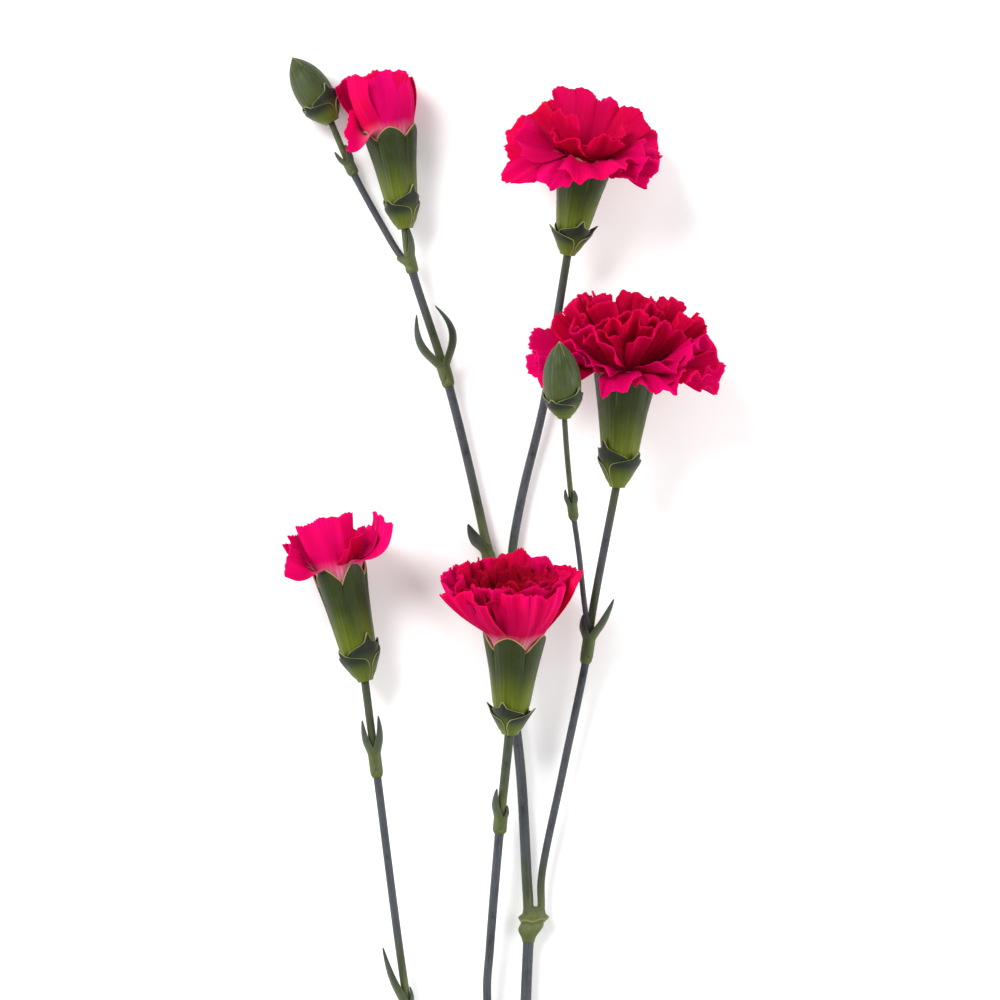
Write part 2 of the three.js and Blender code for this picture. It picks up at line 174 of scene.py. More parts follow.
class Stem:
    """A stem's centre line, with its right and up directions and its radius at every point."""

    def __init__(self, node, radii, route):
        self.node = node
        self.line = smooth_route(route)
        self.along = unit(np.gradient(self.line, axis=0))
        self.right = unit(np.cross(self.along, (0, 0, 1)))
        self.up = np.cross(self.right, self.along)
        self.share = np.linspace(0, 1, len(self.line))
        self.length = np.linalg.norm(np.diff(self.line, axis=0), axis=1).sum()
        self.radius = radii[0] + (radii[1] - radii[0]) * self.share

    def at_height(self, height):
        """The stem's place, directions and radius where it is `height` up the plant."""
        i = int(np.argmin(np.abs(self.line[:, 1] - height)))
        return self.line[i], self.along[i], self.right[i], self.up[i], self.radius[i]


stems = {
    key: Stem(node, radii, [ROOTS[key], *route] if key in ROOTS else route)
    for key, (node, radii, route) in STEMS.items()
}


def find_shift():
    """Where the plan's zero lies in the frame, from the main stem's box and the same stem here."""
    stem = stems["main"]
    low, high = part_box("main_stem")
    reach = stem.radius[:, None] * np.sqrt(1 - stem.along**2)
    middle = ((stem.line - reach).min(axis=0) + (stem.line + reach).max(axis=0)) / 2
    centre = (np.array(low) + np.array(high)) / 2 / MM
    return centre - middle


SHIFT = find_shift()


def to_frame(points):
    return (np.asarray(points, float) + SHIFT) * MM


def lean_matrix(lean):
    """The smallest turn that takes +Y onto the lean."""
    way = unit(np.asarray(lean, float))
    x, y, z = np.cross((0, 1, 0), way)
    cross = np.array([[0, -z, y], [z, 0, -x], [-y, x, 0]])
    return np.eye(3) + cross + cross @ cross / (1 + way[1])


class Seat:
    """The frame of a flower or bud on its stem's end; angle 0 faces up off the table."""

    def __init__(self, spec):
        self.turn = lean_matrix(spec["lean"])
        end = stems[spec["stem"]].line[-1]
        self.foot = end - self.turn @ np.array([0, SOCKET_DEPTH, 0])

    def place(self, x, height, z):
        points = np.stack(np.broadcast_arrays(x, height, z), axis=-1)
        return points @ self.turn.T + self.foot

    def around(self, radius, height, angle):
        return self.place(radius * np.sin(angle), height, radius * np.cos(angle))


def press(points):
    """Bends what would hang below the table flat along it: z becomes h exp((z - h) / h) under h."""
    z = points[..., 2]
    low = PRESS_HEIGHT * np.exp((np.minimum(z, PRESS_HEIGHT) - PRESS_HEIGHT) / PRESS_HEIGHT)
    points[..., 2] = np.where(z < PRESS_HEIGHT, low, z)
    return points


# ---------------------------------------------------------------- meshes from grids

def grid_mesh(name, points, material, replaces, attributes, wrap=False, caps=False,
              wall=0.0):
    """A grid of plan points (rows, columns, 3) as a mesh that rides on the plant.

    `wrap` joins the last column to the first, `caps` closes both ends with a middle point, and
    `wall` gives an open sheet its thickness. Each attribute holds one value per point.
    """
    rows, columns = points.shape[:2]
    places = to_frame(points).reshape(-1, 3)
    index = np.arange(rows * columns).reshape(rows, columns)
    across = np.concatenate([index, index[:, :1]], axis=1) if wrap else index
    quads = np.stack([across[:-1, :-1], across[:-1, 1:], across[1:, 1:], across[1:, :-1]], axis=-1)
    faces = quads.reshape(-1, 4).tolist()
    if caps:
        ends = np.stack([places[index[0]].mean(axis=0), places[index[-1]].mean(axis=0)])
        first, last = len(places), len(places) + 1
        places = np.vstack([places, ends])
        faces += np.stack([across[0, 1:], across[0, :-1], np.full(columns, first)], 1).tolist()
        faces += np.stack([across[-1, :-1], across[-1, 1:], np.full(columns, last)], 1).tolist()
    mesh = bpy.data.meshes.new(name)
    mesh.from_pydata(places.tolist(), [], faces)
    mesh.update()
    v, u = np.meshgrid(np.linspace(0, 1, rows), np.linspace(0, 1, columns), indexing="ij")
    flat = np.zeros((len(places), 2))
    flat[: rows * columns] = np.stack([u, v], axis=-1).reshape(-1, 2)
    if caps:
        flat[rows * columns:] = [[0.5, 0], [0.5, 1]]
    corners = np.empty(len(mesh.loops), dtype=np.int32)
    mesh.loops.foreach_get("vertex_index", corners)
    layer = mesh.uv_layers.new(name="UVMap")
    layer.data.foreach_set("uv", flat[corners].astype(np.float32).ravel())
    for label, values in attributes.items():
        store = mesh.attributes.new(label, "FLOAT", "POINT")
        full = np.zeros(len(places), dtype=np.float32)
        full[: rows * columns] = np.broadcast_to(values, (rows, columns)).ravel()
        store.data.foreach_set("value", full)
    mesh.polygons.foreach_set("use_smooth", np.ones(len(mesh.polygons), dtype=bool))
    piece = bpy.data.objects.new(name, mesh)
    bpy.context.scene.collection.objects.link(piece)
    mesh.materials.append(material)
    if wall:
        solid = piece.modifiers.new("wall", "SOLIDIFY")
        solid.thickness = wall * MM
        solid.offset = 0
    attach(piece, "root")
    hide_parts(*replaces)


# ---------------------------------------------------------------- materials

class Nodes:
    """A small helper that adds nodes to a tree and links their sockets."""

    def __init__(self, tree):
        self.tree = tree

    def add(self, kind, **settings):
        node = self.tree.nodes.new(kind)
        for key, value in settings.items():
            setattr(node, key, value)
        return node

    def join(self, source, target):
        self.tree.links.new(source, target)

    def maths(self, operation, a, b, clamp=False):
        node = self.add("ShaderNodeMath", operation=operation, use_clamp=clamp)
        for socket, value in zip(node.inputs, (a, b)):
            if isinstance(value, (int, float)):
                socket.default_value = value
            else:
                self.join(value, socket)
        return node.outputs[0]

    def blend(self, share, a, b):
        node = self.add("ShaderNodeMix", data_type="RGBA", blend_type="MIX")
        for socket, value in zip((node.inputs[0], node.inputs[6], node.inputs[7]), (share, a, b)):
            if isinstance(value, (int, float)):
                socket.default_value = value
            elif isinstance(value, tuple):
                socket.default_value = (*value, 1)
            else:
                self.join(value, socket)
        return node.outputs[2]

    def ramp(self, value, low, high, out_low=0.0, out_high=1.0):
        node = self.add("ShaderNodeMapRange", interpolation_type="SMOOTHSTEP")
        self.join(value, node.inputs[0])
        for socket, number in zip(list(node.inputs)[1:5], (low, high, out_low, out_high)):
            socket.default_value = number
        return node.outputs[0]

    def attribute(self, name):
        return self.add("ShaderNodeAttribute", attribute_name=name).outputs["Fac"]


def make_group(name, inputs, outputs):
    tree = bpy.data.node_groups.new(name, "ShaderNodeTree")
    for label, value in inputs:
        socket = tree.interface.new_socket(label, in_out="INPUT", socket_type="NodeSocketFloat")
        socket.default_value = value
    for label in outputs:
        tree.interface.new_socket(label, in_out="OUTPUT", socket_type="NodeSocketFloat")
    nodes = Nodes(tree)
    return tree, nodes, nodes.add("NodeGroupInput"), nodes.add("NodeGroupOutput")


def make_ribs_group():
    """Fine streaks that run the length of a piece: noise on its UV map, squeezed across."""
    tree, n, given, out = make_group(
        "lengthwise ribs", [("Across", 60.0), ("Along", 2.0), ("Seed", 0.0)], ["Streak", "Fine"])
    uv = n.add("ShaderNodeSeparateXYZ")
    n.join(n.add("ShaderNodeUVMap", uv_map="UVMap").outputs[0], uv.inputs[0])
    for factor, label in ((1.0, "Streak"), (3.1, "Fine")):
        spot = n.add("ShaderNodeCombineXYZ")
        across = n.maths("MULTIPLY", uv.outputs[0], given.outputs["Across"])
        n.join(n.maths("MULTIPLY", across, factor), spot.inputs[0])
        n.join(n.maths("MULTIPLY", uv.outputs[1], given.outputs["Along"]), spot.inputs[1])
        n.join(given.outputs["Seed"], spot.inputs[2])
        noise = n.add("ShaderNodeTexNoise")
        noise.inputs["Scale"].default_value = 1.0
        noise.inputs["Detail"].default_value = 2.0
        n.join(spot.outputs[0], noise.inputs["Vector"])
        n.join(n.ramp(noise.outputs[0], 0.3, 0.7), out.inputs[label])
    return tree


def make_bloom_group():
    """The waxy bloom on stems and leaves: soft blotches of two sizes in Object coordinates."""
    tree, n, given, out = make_group("waxy bloom", [("Size", 3.0), ("Cover", 0.5)], ["Bloom"])
    where = n.add("ShaderNodeTexCoord").outputs["Object"]
    sizes = []
    for factor in (1.0, 5.0):
        noise = n.add("ShaderNodeTexNoise")
        noise.inputs["Detail"].default_value = 3.0
        n.join(where, noise.inputs["Vector"])
        scale = n.maths("DIVIDE", factor * 1000, given.outputs["Size"])
        n.join(scale, noise.inputs["Scale"])
        sizes.append(noise.outputs[0])
    both = n.maths("ADD", n.maths("MULTIPLY", sizes[0], 0.65), n.maths("MULTIPLY", sizes[1], 0.35))
    lifted = n.maths("ADD", both, n.maths("SUBTRACT", given.outputs["Cover"], 0.5))
    n.join(n.ramp(lifted, 0.35, 0.65), out.inputs["Bloom"])
    return tree


def make_margin_group():
    """A thin pale margin: full at the edge, faded out `Width` millimetres in from it."""
    tree, n, given, out = make_group("pale margin", [("Distance", 1.0), ("Width", 0.4)], ["Margin"])
    share = n.maths("DIVIDE", given.outputs["Distance"], given.outputs["Width"])
    n.join(n.ramp(share, 0.35, 1.0, 1.0, 0.0), out.inputs["Margin"])
    return tree


RIBS = make_ribs_group()
BLOOM = make_bloom_group()
MARGIN = make_margin_group()


def use_group(n, tree, **values):
    node = n.add("ShaderNodeGroup", node_tree=tree)
    for key, value in values.items():
        if isinstance(value, (int, float)):
            node.inputs[key].default_value = value
        else:
            n.join(value, node.inputs[key])
    return node.outputs


def new_material(name, roughness, sheen=0.0, specular=0.5):
    material = bpy.data.materials.new(name)
    material.use_nodes = True
    shader = material.node_tree.nodes["Principled BSDF"]
    shader.inputs["Roughness"].default_value = roughness
    shader.inputs["Sheen Weight"].default_value = sheen
    shader.inputs["Specular IOR Level"].default_value = specular
    return material, Nodes(material.node_tree), shader


def add_bump(n, shader, height, strength, distance):
    bump = n.add("ShaderNodeBump")
    bump.inputs["Strength"].default_value = strength
    bump.inputs["Distance"].default_value = distance * MM
    n.join(height, bump.inputs["Height"])
    n.join(bump.outputs[0], shader.inputs["Normal"])


def petal_material():
    """Cerise petals: a pale claw, fine radial veins, some petals redder and some pinker, and
    painted shade: a dark crimson in the folds deep in the flower."""
    material, n, shader = new_material("petal", 0.7, specular=0.02)
    shader.inputs["Subsurface Weight"].default_value = 0.2
    shader.inputs["Subsurface Radius"].default_value = (1.0, 0.12, 0.3)
    shader.inputs["Subsurface Scale"].default_value = MM
    veins = use_group(n, RIBS, Across=38.0, Along=1.6, Seed=2.0)
    patch = use_group(n, BLOOM, Size=7.0, Cover=0.5)["Bloom"]
    tint = n.maths("ADD", n.attribute("tint"), n.maths("MULTIPLY", patch, 0.35), clamp=True)
    length = n.attribute("blade")
    body = n.blend(tint, (0.66, 0.0005, 0.028), (0.58, 0.0005, 0.115))
    veined = n.blend(n.maths("MULTIPLY", veins["Streak"], 0.30), body, (0.42, 0.0005, 0.045))
    glowing = n.blend(n.maths("MULTIPLY", veins["Fine"], 0.2), veined, (0.9, 0.003, 0.12))
    # Painted shade: the petals turn dark crimson where the deep attribute is high, in the folds deep in
    # the flower.
    painted_shade = n.blend(n.attribute("deep"), glowing, (0.24, 0.001, 0.010))
    fade = n.ramp(length, -1.5, 3.5, 0.75, 0.0)
    claw = n.maths("MULTIPLY", fade, n.ramp(veins["Streak"], 0.0, 1.0, 1.0, 0.55))
    n.join(n.blend(claw, painted_shade, (0.62, 0.30, 0.38)), shader.inputs["Base Color"])
    add_bump(n, shader, veins["Streak"], 0.3, 0.2)
    return material


WAX_COLOUR = (0.10, 0.125, 0.115)
GREEN_ROUGHNESS = 0.42


def green_material(name, low, high, tip, ribs, margin, bloom, margin_width,
                   low_to_high=(0.05, 0.7), high_to_tip=(0.72, 1.0)):
    """A green skin: one colour at its foot, one higher up and one at its tip, fine ribs, a waxy
    bloom, and a pale margin where the piece's `edge` distance is small.

    `low_to_high` and `high_to_tip` are the shares of the piece's height where the colours change.
    """
    material, n, shader = new_material(name, GREEN_ROUGHNESS, sheen=0.05, specular=0.17)
    high_share = n.attribute("high")
    foot = n.blend(n.ramp(high_share, *low_to_high), low, high)
    body = n.blend(n.ramp(high_share, *high_to_tip), foot, tip)
    streak = use_group(n, RIBS, Across=ribs, Along=1.4, Seed=5.0)
    ribbed = n.blend(n.maths("MULTIPLY", streak["Streak"], 0.35), body,
                     tuple(0.55 * c for c in high))
    wax = use_group(n, BLOOM, Size=2.6, Cover=0.5)["Bloom"]
    waxed = n.blend(n.maths("MULTIPLY", wax, bloom), ribbed, WAX_COLOUR)
    edge = use_group(n, MARGIN, Distance=n.attribute("edge"), Width=margin_width)["Margin"]
    n.join(n.blend(edge, waxed, margin), shader.inputs["Base Color"])
    rough = n.ramp(wax, 0.0, 1.0, GREEN_ROUGHNESS - 0.06, GREEN_ROUGHNESS + 0.16)
    n.join(rough, shader.inputs["Roughness"])
    add_bump(n, shader, streak["Streak"], 0.25, 0.12)
    return material


def stem_material():
    """Grey-blue waxy stems that turn fresh green just above each node."""
    material, n, shader = new_material("stem", 0.45, sheen=0.1, specular=0.24)
    streak = use_group(n, RIBS, Across=26.0, Along=22.0, Seed=9.0)
    wax = use_group(n, BLOOM, Size=5.0, Cover=0.6)["Bloom"]
    grey = n.blend(wax, (0.013, 0.014, 0.017), (0.058, 0.063, 0.074))
    green = n.blend(wax, (0.018, 0.026, 0.008), (0.050, 0.062, 0.026))
    fresh = n.blend(n.ramp(n.attribute("green"), 1.0, 1.6), green, (0.115, 0.135, 0.032))
    body = n.blend(n.ramp(n.attribute("green"), 0.0, 1.0), grey, fresh)
    streaked = n.blend(n.maths("MULTIPLY", streak["Streak"], 0.5), body, (0.014, 0.016, 0.017))
    n.join(streaked, shader.inputs["Base Color"])
    n.join(n.ramp(wax, 0.0, 1.0, 0.36, 0.62), shader.inputs["Roughness"])
    add_bump(n, shader, streak["Fine"], 0.3, 0.08)
    return material


def pith_material():
    """The fresh cut: a pale moist pith inside a green ring."""
    material, n, shader = new_material("cut end", 0.5)
    ring = n.attribute("ring")
    speck = n.add("ShaderNodeTexNoise")
    speck.inputs["Scale"].default_value = 4000
    n.join(n.add("ShaderNodeTexCoord").outputs["Object"], speck.inputs["Vector"])
    pale = n.blend(speck.outputs[0], (0.42, 0.46, 0.22), (0.62, 0.64, 0.42))
    n.join(n.blend(n.ramp(ring, 0.7, 0.95), pale, (0.12, 0.19, 0.07)), shader.inputs["Base Color"])
    return material


PETAL = petal_material()
STEM = stem_material()
PITH = pith_material()
CALYX = green_material("calyx", (0.105, 0.135, 0.003), (0.022, 0.034, 0.004),
                       (0.022, 0.030, 0.005), 60.0, margin=(0.36, 0.21, 0.08), bloom=0.04,
                       margin_width=0.34, low_to_high=(0.25, 0.72))
BUD = green_material("bud", (0.062, 0.08, 0.010), (0.034, 0.049, 0.009), (0.055, 0.072, 0.018),
                     40.0, margin=(0.26, 0.26, 0.07), bloom=0.14, margin_width=0.22)
BRACT = green_material("bract", (0.115, 0.145, 0.008), (0.06, 0.085, 0.010),
                       (0.008, 0.012, 0.010), 30.0, margin=(0.20, 0.21, 0.08), bloom=0.03,
                       margin_width=0.26, low_to_high=(0.05, 0.5), high_to_tip=(0.36, 0.66))
LEAF = green_material("leaf", (0.075, 0.095, 0.02), (0.026, 0.037, 0.022), (0.014, 0.02, 0.016),
                      14.0, margin=(0.11, 0.13, 0.08), bloom=0.25, margin_width=0.12)
NODE = green_material("node", (0.085, 0.105, 0.02), (0.10, 0.12, 0.03), (0.05, 0.066, 0.018),
                      24.0, margin=(0.17, 0.165, 0.06), bloom=0.2, margin_width=0.3)


# ---------------------------------------------------------------- stems

STEM_SIDES = 24

# How far up the plant each stem has its nodes.
NODE_HEIGHTS = {
    "main": [30, 88, 150, 222, 236, 275.4, 301],
    "right": [151, 214],
    "front": [89, 174.6],
    "left": [31, 133, 188.3],
    "top_bud": [322.8],
    "right_bud": [245.4],
    "top_right": [223],
}
CUT_SLANT = 1.1
TABLE_GAP = 0.05  # the least height of a node or sheath over the table
LEAF_GAP = 0.12  # and that of a leaf
FORK_SHARE = 0.45  # how far towards the branch the sleeve about a fork is centred
LEAF_SLEEVE = 0.45  # how far outside the stem a leaf's base lies


def build_stem(key):
    """A rod carried along its centre line: point = line + radius (cos a right + sin a up).

    It swells a little at each node and is green for a while above it.
    """
    stem = stems[key]
    heights = stem.line[:, 1]
    swell = np.zeros(len(heights))
    green = np.zeros(len(heights))
    for node in NODE_HEIGHTS[key]:
        swell += 0.16 * np.exp(-(((heights - node) / 2.2) ** 2))
        green = np.maximum(green, 1.35 * ease(heights - node, -2, 1)
                           * (1 - ease(heights - node, 3, 24)))
    to_flower = (1 - stem.share) * stem.length
    green = np.maximum(green, 1 - ease(to_flower, 2, 16))
    angle = np.linspace(2 * np.pi, 0, STEM_SIDES, endpoint=False)
    radius = (stem.radius * (1 + swell))[:, None] * (1 + 0.015 * np.cos(2 * angle + 0.7))
    points = (stem.line[:, None] + (radius * np.cos(angle))[..., None] * stem.right[:, None]
              + (radius * np.sin(angle))[..., None] * stem.up[:, None])
    if key == "main":
        points[0, :, 1] += CUT_SLANT * (1 - np.sin(angle)) / 2
    grid_mesh(f"{stem.node}_skin", points, STEM, [stem.node], wrap=True, caps=True,
              attributes={"green": green[:, None]})


def build_cut_end():
    """The slanted cut: a thin closed tablet over the main stem's end, a hair in front of it.

    Its rings grow to the stem's radius, and the last one lies behind to close the back.
    """
    stem = stems["main"]
    angle = np.linspace(0, 2 * np.pi, STEM_SIDES, endpoint=False)
    share = np.array([0.02, 0.35, 0.7, 0.85, 0.99, 0.98])[:, None]
    behind = np.array([0, 0, 0, 0, 0, 0.1])[:, None]
    radius = share * stem.radius[0]
    points = (stem.line[0] + (radius * np.cos(angle))[..., None] * stem.right[0]
              + (radius * np.sin(angle))[..., None] * stem.up[0])
    points[..., 1] += CUT_SLANT * (1 - share * np.sin(angle)) / 2 - 0.12 + behind
    grid_mesh("cut_end", points[::-1], PITH, ["main_stem"], wrap=True, caps=True,
              attributes={"ring": share[::-1]})


for stem_key in STEMS:
    build_stem(stem_key)
build_cut_end()


# ---------------------------------------------------------------- nodes and leaves

# Stripped nodes on the main stem: height, half length, radius and the branch that leaves there.
STRIPPED = {
    "node_lowest": (31, 3.6, 2.0, "left"),
    "node_lower": (89, 3.6, 2.0, "front"),
    "node_fork": (151.4, 4.0, 2.3, "right"),
    "node_hidden": (223.5, 3.6, 1.8, "top_right"),
}

# Leaf pairs: node, stem, height, sheath length, the branch in it, then leaves as side, length,
# bow, stand-off, half width and turn about the stem in radians.
LEAVES = {
    "leaf_folded": ("main", 233.5, 5.5, None, [(-1, 7.2, 0.6, 5.2, 2.6, 0.9)]),
    "leaves_upper": ("main", 275.5, 3.6, None,
                     [(-1, 13.0, 2.6, 3.4, 1.7, 0.75), (1, 13.8, 3.4, 2.6, 1.8, 0.65)]),
    "leaf_top": ("main", 301, 3.4, "top_bud", [(1, 7, 0.3, 1.9, 1.2, 0.7)]),
    "leaves_bud_top_left": ("top_bud", 322.6, 2.2, None,
                            [(-1, 3.8, 0.2, 2.1, 1.1, 0.6), (1, 4.3, 0.2, 1.5, 1.1, 0.8)]),
    "leaves_right": ("right", 213.5, 4.4, "right_bud",
                     [(-1, 5.8, 0.4, 2.8, 1.8, 0.7), (1, 10.6, 0.4, 5.4, 1.9, 0.7)]),
    "leaves_bud_right": ("right_bud", 245.1, 3.0, None,
                         [(-1, 4.8, 0.2, 1.3, 1.2, 0.6), (1, 4.4, 0.2, 1.2, 1.1, 0.8)]),
    "leaf_front": ("front", 174.4, 3.2, None,
                   [(-1, 6.8, 0.4, 1.9, 1.6, 0.7), (1, 3, 0.2, 1.2, 1.3, 0.3)]),
    "leaves_left": ("left", 187.8, 4.5, None,
                    [(-1, 8.2, 0.4, 2.2, 1.5, 0.7), (1, 8.8, 0.5, 2.6, 1.5, 0.7)]),
    "leaf_lower_left": ("left", 131, 4, None,
                        [(-1, 14, 0.6, 4.4, 1.7, 0.7), (1, 4, 0.2, 1.2, 1.3, 0.3)]),
}


def around_fork(stem_key, branch_key, heights, margin):
    """Centres and half widths of an oval sleeve that holds a stem and the branch leaving it."""
    stem = stems[stem_key]
    centre = np.stack([np.interp(heights, stem.line[:, 1], stem.line[:, k]) for k in range(3)], 1)
    wide = np.interp(heights, stem.line[:, 1], stem.radius) + margin
    if branch_key is None:
        return centre, wide, wide
    branch = stems[branch_key]
    other = np.stack([np.interp(heights, branch.line[:, 1], branch.line[:, k]) for k in range(3)], 1)
    gap = (other - centre) * ease(heights, branch.line[0, 1] - 1, branch.line[0, 1] + 2)[:, None]
    apart = np.linalg.norm(gap, axis=1)
    centre = centre + FORK_SHARE * gap
    return centre, wide + FORK_SHARE * apart, wide


def build_stripped_node(name, height, half, radius, branch_key):
    """A swollen ring where leaves were stripped: an oval sleeve about the stem and its branch.

    It is fullest low down, dips, and ends in two ragged lips; radius = sleeve + swell * bump(v).
    """
    _, _, right, up, stem_radius = stems["main"].at_height(height)
    v = np.linspace(-1, 1, RING_GRID[0])
    angle = np.linspace(2 * np.pi, 0, RING_GRID[1], endpoint=False)[None]
    centre, wide, deep = around_fork("main", branch_key, height + v * half, 0.12)
    v = v[:, None]
    lip = 0.08 * np.sin(2 * angle + 1) + 0.04 * np.sin(7 * angle)
    body = 0.9 * np.exp(-(((v + 0.3) / 0.42) ** 2)) + 0.9 * np.exp(-(((v - 0.3 - lip) / 0.16) ** 2))
    edge = np.abs(v - 0.3 - lip) * half + 0.05
    swell = (radius - stem_radius) * np.minimum(body, 1.05) * (1 + 0.12 * np.sin(5 * angle))
    shut = 1 - ease(v, 0.75, 1.0) * 0.12
    across = (wide[:, None] + swell) * shut * np.cos(angle)
    depth = (deep[:, None] + swell) * shut * np.sin(angle)
    points = centre[:, None] + across[..., None] * right + depth[..., None] * up
    points[..., 2] = np.maximum(points[..., 2], TABLE_GAP)
    grid_mesh(name + "_ring", points, NODE, [name], wrap=True, caps=True,
              attributes={"high": (v + 1) / 2, "edge": edge})


def build_sheath(name, stem_key, height, sheath, branch_key):
    """The fused leaf bases: a thin sleeve about the stem, tight at its foot and fuller above."""
    stem = stems[stem_key]
    _, _, right, up, _ = stem.at_height(height)
    v = np.linspace(0, 1, SHEATH_GRID[0])
    angle = np.linspace(2 * np.pi, 0, SHEATH_GRID[1], endpoint=False)[None]
    heights = height + (v - 0.55) * sheath * 1.15
    centre, wide, deep = around_fork(stem_key, branch_key, heights, 0.1)
    v = v[:, None]
    swell = 0.42 * np.exp(-(((v - 0.2) / 0.2) ** 2)) + 0.34 * ease(v, 0.25, 0.7) * (1 - ease(v, 0.8, 1))
    across = (wide[:, None] + swell) * np.cos(angle)
    depth = (deep[:, None] + swell) * np.sin(angle)
    points = centre[:, None] + across[..., None] * right + depth[..., None] * up
    points[..., 2] = np.maximum(points[..., 2], TABLE_GAP)
    grid_mesh(name + "_sheath", points, NODE, [name], wrap=True, caps=True,
              attributes={"high": 0.1 + 0.9 * v, "edge": 5.0})


def build_leaf(name, node, stem_key, height, sheath, leaf):
    """One leaf: its base lies on the sheath, its blade leaves it straight and runs to a sharp tip.

    Across is u, along is v. The section is an arc of radius rho(v) and half width w(v):
    x = rho sin(u w / rho), and depth = rho (cos(u w / rho) - 1) from a midrib that leaves the stem.
    """
    side, length, bow, stand_off, half_width, turn = leaf
    place, along, right, up, stem_radius = stems[stem_key].at_height(height)
    away = side * right * math.cos(turn) + up * math.sin(turn)
    across = np.cross(along, away)
    v = np.linspace(0, 1, LEAF_GRID[0])[:, None]
    u = np.linspace(-1, 1, LEAF_GRID[1])[None]
    share = sheath / (sheath + length)
    blade = np.clip((v - share) / (1 - share), 0, 1)
    sleeve = stem_radius + LEAF_SLEEVE
    rho = sleeve + 1.6 * half_width * ease(blade, 0, 0.6)
    wrap = 1.35 * sleeve * ease(v, -0.1, 0.25)
    width = wrap + (half_width - wrap) * ease(blade, 0, 0.25)
    width = width * np.where(blade > 0.2, np.clip((1 - blade) / 0.8, 0, 1) ** 0.75, 1) + 0.015
    midrib = sleeve + (stand_off - sleeve) * blade**1.15 + bow * np.sin(np.pi * blade)
    bend = u * width / rho
    keel = 0.22 * half_width * ease(blade, 0.1, 0.5) * (1 - np.abs(u)) * (1 - blade)
    x = rho * np.sin(bend)
    depth = midrib + rho * (np.cos(bend) - 1) + keel
    ahead = v * (sheath + length) - 0.5 * sheath
    points = (place + ahead[..., None] * along + x[..., None] * across + depth[..., None] * away)
    points[..., 2] = np.maximum(points[..., 2], LEAF_GAP)
    edge = (1 - np.abs(u)) * width + 0.1
    grid_mesh(name, points, LEAF, [node], wall=LEAF_WALL,
              attributes={"high": 0.1 + 0.9 * blade, "edge": edge})


for node_name, stripped in STRIPPED.items():
    build_stripped_node(node_name, *stripped)

for node_name, (stem_key, height, sheath, branch_key, leaves) in LEAVES.items():
    build_sheath(node_name, stem_key, height, sheath, branch_key)
    for number, leaf in enumerate(leaves, 1):
        build_leaf(f"{node_name}_blade_{number}", node_name, stem_key, height, sheath, leaf)


# ---------------------------------------------------------------- calyces, bracts and buds

CALYX_TEETH = 5
BRACT_HALF_ANGLE = 1.45  # radians that a bract reaches about the calyx on each side


def calyx_radius(calyx, height):
    """A goblet: a narrow foot that rounds out to the waist, then a slow flare to the mouth."""
    length, neck, waist, mouth, _ = calyx
    share = np.clip((height - CALYX_FOOT) / (length - CALYX_FOOT), 0, 1.1)
    body = waist + (mouth - waist) * share**1.2
    foot = np.sin(np.clip(height / 8.0, 0, 1) * np.pi / 2) ** 1.15
    shoulder = 0.3 * ease(height, 0.93 * length, 1.04 * length)
    return neck - 0.25 + (body - neck + 0.25) * foot - shoulder


def bud_radius(size, height):
    """The same foot, then an egg with a pointed tip."""
    length, radius, neck = size
    share = np.clip((height - CALYX_FOOT) / (length - CALYX_FOOT), 0, 1)
    egg = radius * np.sin(np.pi * (0.3 + 0.7 * share**1.15)) ** 0.7
    foot = np.sin(np.clip(height / 5.5, 0, 1) * np.pi / 2) ** 1.1
    return neck - 0.2 + (egg - neck + 0.2) * foot


def build_calyx(name, spec, first_tooth):
    """A tube with five ogive teeth: its top stands at length - tooth t^1.7 above the foot, where t
    is how far an angle is from the nearest tooth's middle. A seam runs down from each notch."""
    seat = Seat(spec)
    calyx = spec["calyx"]
    length, _, _, _, tooth = calyx
    v = np.linspace(0, 1, CALYX_GRID[0])[:, None]
    angle = np.linspace(0, 2 * np.pi, CALYX_GRID[1], endpoint=False)[None]
    turns = (angle - first_tooth) * CALYX_TEETH / (2 * np.pi) + 0.5
    apart = np.abs(turns % 1 - 0.5) * 2
    uneven = 1 + 0.12 * np.sin(np.floor(turns) * 2.4 + length)
    top = length + 0.5 - tooth * uneven * apart**1.7
    height = v * top
    notch = length - tooth
    seam = np.exp(-(((1 - apart) / 0.07) ** 2)) * ease(height, notch - 6.5, notch)
    bulge = 0.35 * (1 - apart**2) * ease(height, notch - 7, length)
    ribs = 0.012 * np.cos(35 * angle) + 0.03 * np.cos(10 * angle + length)
    radius = calyx_radius(calyx, height) + ribs * ease(v, 0.1, 0.3) + bulge - 0.3 * seam
    points = seat.around(radius - 0.1, height, angle)
    slope = 1.7 * tooth * np.maximum(apart, 0.02) ** 0.7 / (np.pi / CALYX_TEETH * radius)
    edge = (top - height) / np.sqrt(1 + slope**2)
    grid_mesh(f"calyx_{name}_skin", points, CALYX, [f"calyx_{name}"], wrap=True,
              attributes={"high": v * 0.95, "edge": edge}, wall=CALYX_WALL)


